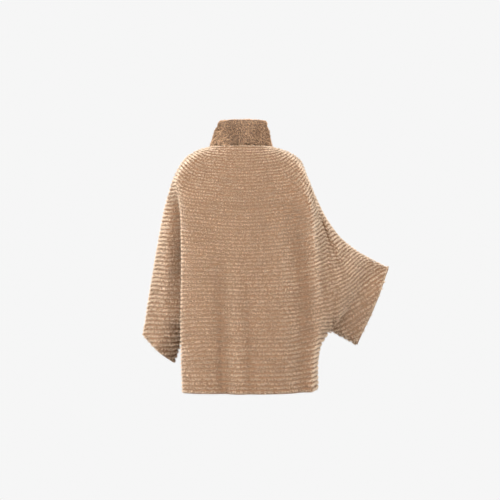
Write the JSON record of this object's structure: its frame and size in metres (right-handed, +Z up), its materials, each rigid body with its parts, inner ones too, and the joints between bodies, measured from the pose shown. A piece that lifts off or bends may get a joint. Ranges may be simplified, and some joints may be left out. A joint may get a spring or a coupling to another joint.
{
  "type": "fur cape",
  "caption": "Knitted-fur batwing cape with a high roll collar and wide slanted cuffs, filled out as worn, left arm hanging and right arm held out.",
  "frame": {"origin": "base of the wearer's neck, midway between the shoulders, at the height where the cape rests on them", "axes": "+Z up, the wearer's back faces -Y and the chest +Y, and the wearer's right arm, held out, is at +X"},
  "size_m": [0.755, 0.3029, 0.8074],
  "materials": {
    "knitted_fur": "rows of knitted fur in warm tan, deep soft pile with pale tips and darker gaps between the rows",
    "collar_fur": "smoother fur, darker brown, hair lying aslant"
  },
  "bodies": {
    "root": {"back": "knitted_fur", "front": "knitted_fur", "collar": "collar_fur"}
  },
  "joints": []
}
